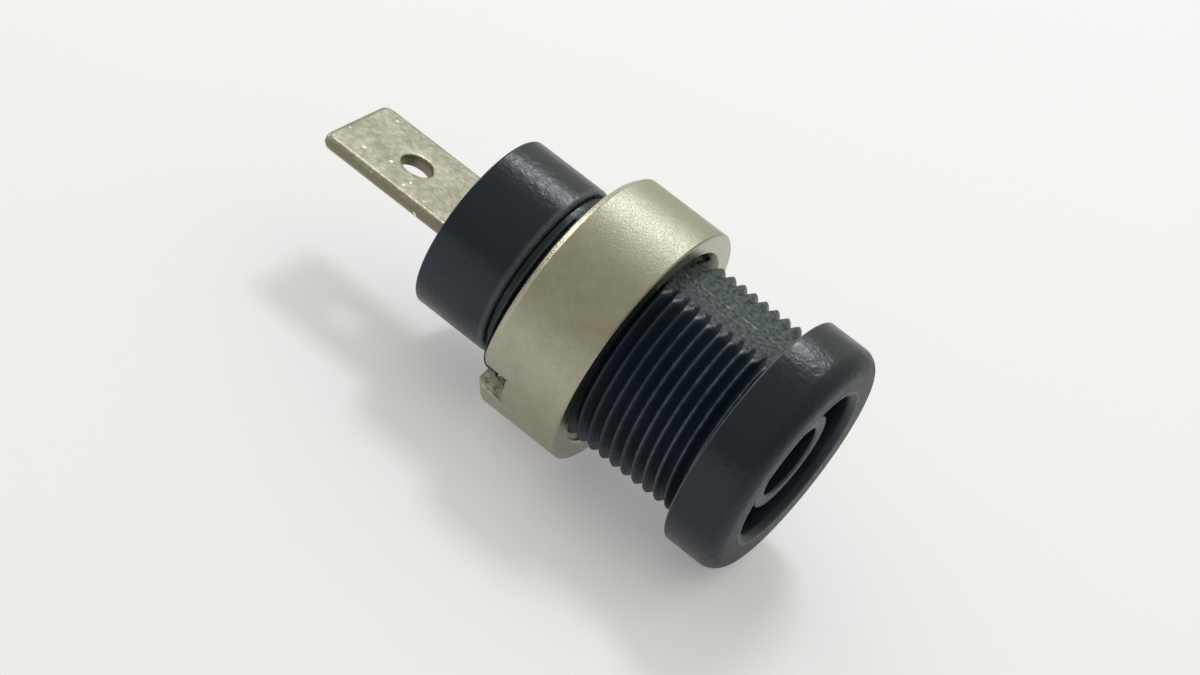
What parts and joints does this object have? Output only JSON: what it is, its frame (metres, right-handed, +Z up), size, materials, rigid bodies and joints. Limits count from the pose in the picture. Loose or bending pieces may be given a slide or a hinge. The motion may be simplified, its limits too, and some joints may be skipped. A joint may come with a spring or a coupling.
{
  "type": "banana socket",
  "caption": "Panel socket for shrouded banana plugs: round flange, threaded shank with flats, plug sleeve in an annular recess, slotted ring nut and flat push-on tab.",
  "frame": {"origin": "on the socket's axis, in the plane of the flange's rear face that seats on the panel", "axes": "+Y along the axis from the plug's mouth to the tab, +Z up, square to the shank's flats and the tab's face, +X across the tab"},
  "size_m": [0.015, 0.0314, 0.015],
  "materials": {
    "black_moulding": "satin black polyamide",
    "nickel_nut": "nickel-plated, turned and tumbled",
    "plated_contact": "nickel-plated, turned",
    "plated_tab": "tin-plated, stamped"
  },
  "bodies": {
    "socket": {"housing": "black_moulding", "contact_socket": "plated_contact", "blade_tab": "plated_tab"},
    "nut": {"ring_nut": "nickel_nut"}
  },
  "joints": [
    {"name": "nut_travel", "type": "slide", "parent": "socket", "child": "nut", "axis": [0, 1, 0], "range_m": [-0.0072, 0.0214]}
  ]
}
